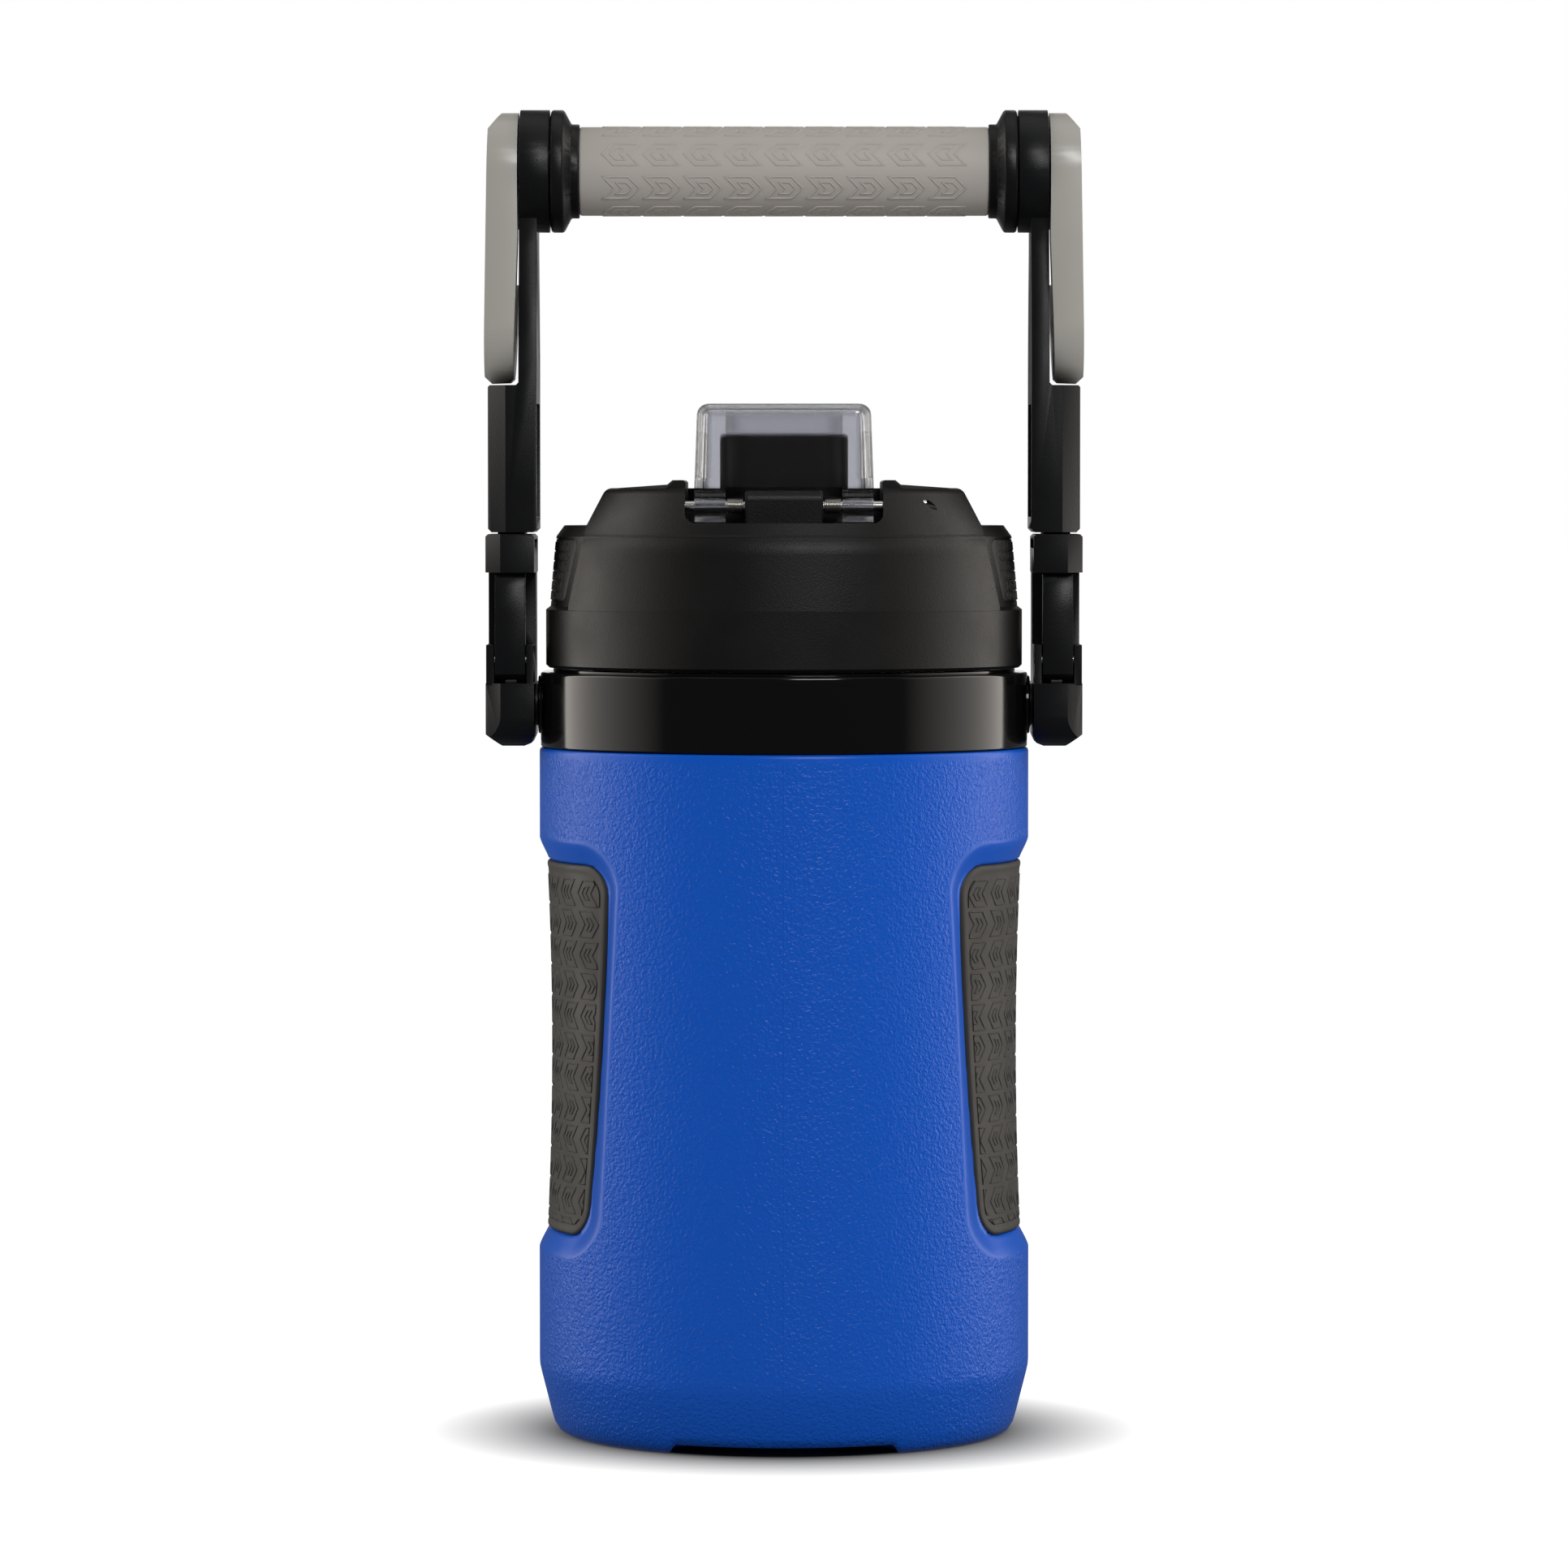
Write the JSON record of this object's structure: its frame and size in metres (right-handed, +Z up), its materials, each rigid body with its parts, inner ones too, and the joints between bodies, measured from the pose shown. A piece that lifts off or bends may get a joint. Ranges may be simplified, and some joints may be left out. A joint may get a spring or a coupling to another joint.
{
  "type": "insulated water jug",
  "caption": "Insulated cylindrical water jug with a swinging carry handle, screw lid, hinged clear cap over a spout, side grips and fold-out hooks.",
  "frame": {"origin": "on the ground under the jug's axis", "axes": "+Z up along the jug's axis, +X along the handle's pivot axis to the right, +Y to the drinking side with the push button"},
  "size_m": [0.164, 0.135, 0.3636],
  "materials": {
    "blue_hdpe": "leather-grained moulded polyethylene",
    "foam": "rigid foam",
    "liner_white": "smooth polypropylene",
    "charcoal_tpr": "matt soft-touch with raised chevrons",
    "gloss_black": "gloss",
    "steel": "turned",
    "bright_steel": "polished",
    "spring_steel": "drawn wire",
    "nylon": "natural",
    "silicone": "soft",
    "satin_black": "satin with fine texture",
    "pad_black": "knurled",
    "spout_black": "satin",
    "arm_black": "fine grain",
    "clear_cap": "clear moulded plastic",
    "clear_silicone": "translucent soft plug",
    "hook_grey": "semi-gloss",
    "grey_tpr": "matt soft-touch with raised arrowheads"
  },
  "bodies": {
    "jug": {"outer_shell": "blue_hdpe", "insulation_foam": "foam", "inner_liner": "liner_white", "left_side_grip": "charcoal_tpr", "right_side_grip": "charcoal_tpr", "collar_ring": "gloss_black", "left_pivot_pin": "steel", "right_pivot_pin": "steel", "left_pivot_washer": "nylon", "right_pivot_washer": "nylon"},
    "gasket_carrier": {"lid_gasket": "silicone"},
    "lid": {"lid_shell": "satin_black", "lid_insert": "arm_black", "lid_foam": "foam", "left_finger_pad": "pad_black", "right_finger_pad": "pad_black", "spout": "spout_black", "vent_bush": "steel", "hinge_pin": "bright_steel", "left_torsion_spring": "spring_steel", "right_torsion_spring": "spring_steel", "button_spring": "spring_steel"},
    "cap": {"cap_cover": "clear_cap", "cap_seal": "clear_silicone"},
    "button": {"push_button": "arm_black"},
    "handle": {"left_yoke": "arm_black", "right_yoke": "arm_black", "left_upper_arm": "arm_black", "right_upper_arm": "arm_black", "left_end_flange": "arm_black", "right_end_flange": "arm_black", "grip_core": "arm_black", "grip_sleeve": "grey_tpr", "axle_rod": "steel", "left_gate_pin": "steel", "right_gate_pin": "steel", "left_gate_spring": "spring_steel", "right_gate_spring": "spring_steel", "left_hook_screw": "steel", "right_hook_screw": "steel"},
    "left_hook": {"left_hook": "hook_grey"},
    "right_hook": {"right_hook": "hook_grey"},
    "left_gate": {"left_gate": "arm_black"},
    "right_gate": {"right_gate": "arm_black"}
  },
  "joints": [
    {"name": "handle_swing", "type": "hinge", "parent": "jug", "child": "handle", "pos_m": [0, 0, 0.2004], "axis": [1, 0, 0], "range_deg": [-140, 140]},
    {"name": "lid_lift", "type": "slide", "parent": "jug", "child": "gasket_carrier", "axis": [0, 0, 1], "range_m": [0, 0.012]},
    {"name": "lid_twist", "type": "hinge", "parent": "gasket_carrier", "child": "lid", "pos_m": [0, 0, 0.225], "axis": [0, 0, 1], "range_deg": [0, 360]},
    {"name": "cap_flip", "type": "hinge", "parent": "lid", "child": "cap", "pos_m": [0, -0.045, 0.255], "axis": [1, 0, 0], "range_deg": [0, 100]},
    {"name": "button_press", "type": "slide", "parent": "lid", "child": "button", "axis": [0, -1, 0], "range_m": [0, 0.0025], "stiffness_N_per_m": 500, "springref_m": -0.001},
    {"name": "right_hook_fold", "type": "hinge", "parent": "handle", "child": "right_hook", "pos_m": [0.076, 0, 0.3468], "axis": [1, 0, 0], "range_deg": [0, 180]},
    {"name": "left_hook_fold", "type": "hinge", "parent": "handle", "child": "left_hook", "pos_m": [-0.076, 0, 0.3468], "axis": [1, 0, 0], "range_deg": [0, 180]},
    {"name": "right_gate_swing", "type": "hinge", "parent": "handle", "child": "right_gate", "pos_m": [0.075, -0.0112, 0.2129], "axis": [-1, 0, 0], "range_deg": [0, 18], "stiffness_Nm_per_rad": 0.04, "springref_deg": -8.59},
    {"name": "left_gate_swing", "type": "hinge", "parent": "handle", "child": "left_gate", "pos_m": [-0.075, -0.0112, 0.2129], "axis": [-1, 0, 0], "range_deg": [0, 18], "stiffness_Nm_per_rad": 0.04, "springref_deg": -8.59}
  ],
  "couplings": [
    {"joint": "lid_lift", "follows": "lid_twist", "m_per_rad": 0.0019099}
  ]
}
